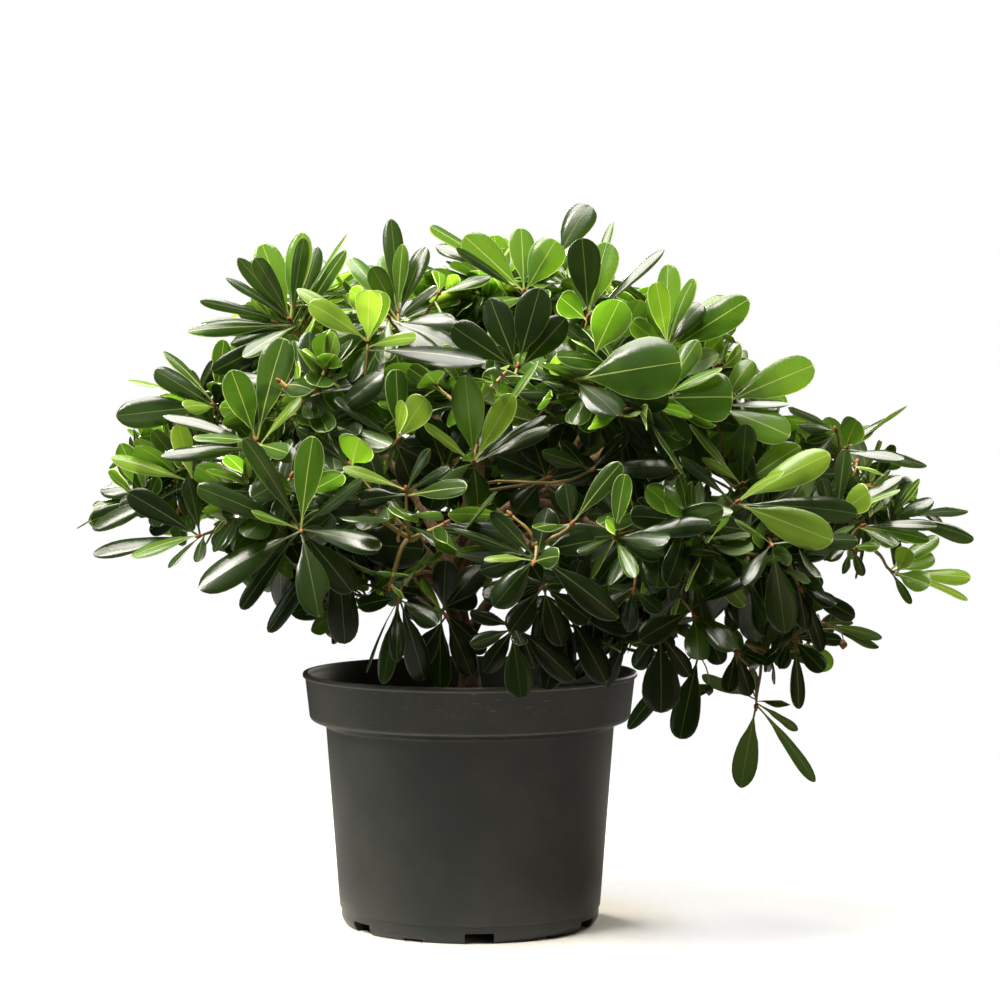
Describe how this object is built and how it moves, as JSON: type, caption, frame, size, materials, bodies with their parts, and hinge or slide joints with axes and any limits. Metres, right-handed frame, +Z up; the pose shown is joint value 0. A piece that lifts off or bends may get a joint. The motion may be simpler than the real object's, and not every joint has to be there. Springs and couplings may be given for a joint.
{
  "type": "potted pittosporum shrub",
  "caption": "Evergreen pittosporum shrub with whorls of blunt leathery leaves on a short leaning stem, growing in compost in a round collared plastic nursery pot",
  "frame": {"origin": "centre of the pot's flat underside, on the surface that the pot stands on", "axes": "+X towards the long arm of the crown, which is the picture's right; +Y away from the picture's camera; +Z up along the pot's axis"},
  "size_m": [0.6812, 0.5331, 0.5541],
  "materials": {
    "pot_plastic": "satin",
    "compost": "matte",
    "bark": "matte",
    "leaf": "satin",
    "young_leaf": "satin"
  },
  "bodies": {
    "root": {"bough_arm_left": "bark", "bough_arm_right": "bark", "bough_arm_right_back": "bark", "bough_arm_right_far": "bark", "bough_arm_right_front": "bark", "bough_back_left": "bark", "bough_back_middle": "bark", "bough_back_right": "bark", "bough_crest_left": "bark", "bough_crest_middle": "bark", "bough_crest_middle_left": "bark", "bough_crest_right": "bark", "bough_front_left": "bark", "bough_front_middle": "bark", "bough_front_middle_left": "bark", "bough_front_right": "bark", "bough_hanging": "bark", "bough_low_left": "bark", "bough_low_right": "bark", "bough_shoulder_left": "bark", "bough_shoulder_right": "bark", "bough_upper_back": "bark", "bough_upper_back_left": "bark", "bough_upper_back_right": "bark", "bough_upper_front": "bark", "bough_upper_front_left": "bark", "bough_upper_front_right": "bark", "bough_upper_right": "bark", "compost": "compost", "foliage_arm_left": "leaf", "foliage_arm_right": "leaf", "foliage_arm_right_back": "leaf", "foliage_arm_right_far": "leaf", "foliage_arm_right_front": "leaf", "foliage_back_left": "leaf", "foliage_back_middle": "leaf", "foliage_back_right": "leaf", "foliage_crest_left": "young_leaf", "foliage_crest_middle": "young_leaf", "foliage_crest_middle_left": "young_leaf", "foliage_crest_right": "young_leaf", "foliage_front_left": "leaf", "foliage_front_middle": "leaf", "foliage_front_middle_left": "leaf", "foliage_front_right": "leaf", "foliage_hanging": "leaf", "foliage_low_left": "leaf", "foliage_low_right": "leaf", "foliage_shoulder_left": "leaf", "foliage_shoulder_right": "leaf", "foliage_upper_back": "leaf", "foliage_upper_back_left": "leaf", "foliage_upper_back_right": "leaf", "foliage_upper_front": "leaf", "foliage_upper_front_left": "leaf", "foliage_upper_front_right": "leaf", "foliage_upper_right": "leaf", "pot": "pot_plastic", "trunk": "bark"}
  },
  "joints": []
}
